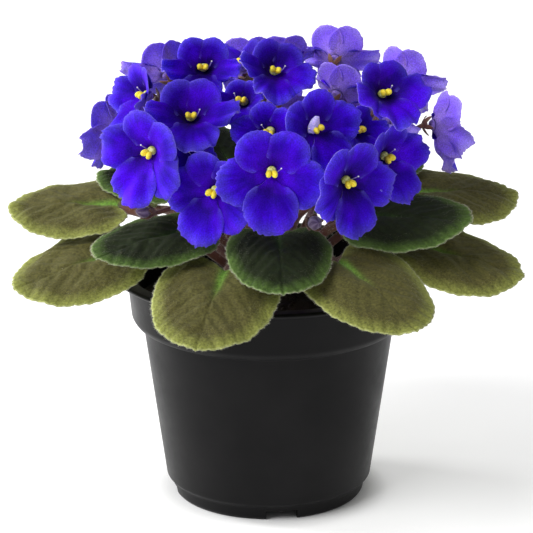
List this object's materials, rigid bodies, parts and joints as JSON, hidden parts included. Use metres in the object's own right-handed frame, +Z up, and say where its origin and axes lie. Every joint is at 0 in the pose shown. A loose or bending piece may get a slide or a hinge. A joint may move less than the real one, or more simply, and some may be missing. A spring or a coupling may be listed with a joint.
{
  "type": "potted african violet",
  "caption": "Potted African violet: a dome of blue-violet blooms above a rosette of scalloped, fuzzy leaves in a plain black nursery pot.",
  "frame": {"origin": "centre of the pot's underside, at the level that it stands on", "axes": "+Z up along the pot's axis; -Y is the side that the picture shows"},
  "size_m": [0.1966, 0.1876, 0.1845],
  "materials": {
    "pot_plastic": "satin black moulded plastic",
    "potting_mix": "dark moist peat mix",
    "stem": "red-brown, finely hairy",
    "leaf_olive": "olive green with fine pale hairs",
    "leaf_green": "dark green with fine pale hairs",
    "petal": "soft velvety blue-violet, paler on the back",
    "anther": "bright yellow pollen sacs in each bloom's throat"
  },
  "bodies": {
    "root": {"pot": "pot_plastic", "soil": "potting_mix", "crown": "stem", "leaf_outer_01": "leaf_olive", "leaf_outer_02": "leaf_olive", "leaf_outer_03": "leaf_olive", "leaf_outer_04": "leaf_olive", "leaf_outer_05": "leaf_olive", "leaf_outer_06": "leaf_olive", "leaf_outer_07": "leaf_olive", "leaf_outer_08": "leaf_olive", "leaf_outer_09": "leaf_olive", "leaf_outer_10": "leaf_olive", "leaf_inner_01": "leaf_green", "leaf_inner_02": "leaf_green", "leaf_inner_03": "leaf_green", "leaf_inner_04": "leaf_green", "leaf_inner_05": "leaf_green", "leaf_inner_06": "leaf_green", "leaf_inner_07": "leaf_green", "leaf_young_01": "leaf_green", "leaf_young_02": "leaf_green", "spray_1": "stem", "spray_2": "stem", "spray_3": "stem", "spray_4": "stem", "spray_5": "stem", "spray_6": "stem", "spray_7": "stem", "spray_8": "stem", "bloom_01": "petal", "bloom_02": "petal", "bloom_03": "petal", "bloom_04": "petal", "bloom_05": "petal", "bloom_06": "petal", "bloom_07": "petal", "bloom_08": "petal", "bloom_09": "petal", "bloom_10": "petal", "bloom_11": "petal", "bloom_12": "petal", "bloom_13": "petal", "bloom_14": "petal", "bloom_15": "petal", "bloom_16": "petal", "bloom_17": "petal", "bloom_18": "petal", "bloom_19": "petal", "bloom_20": "petal", "bloom_21": "petal", "bloom_22": "petal", "bloom_23": "petal", "bloom_24": "petal", "bloom_25": "petal", "bloom_26": "petal", "bloom_27": "petal", "bloom_28": "petal", "bloom_29": "petal", "bloom_30": "petal"}
  },
  "joints": []
}
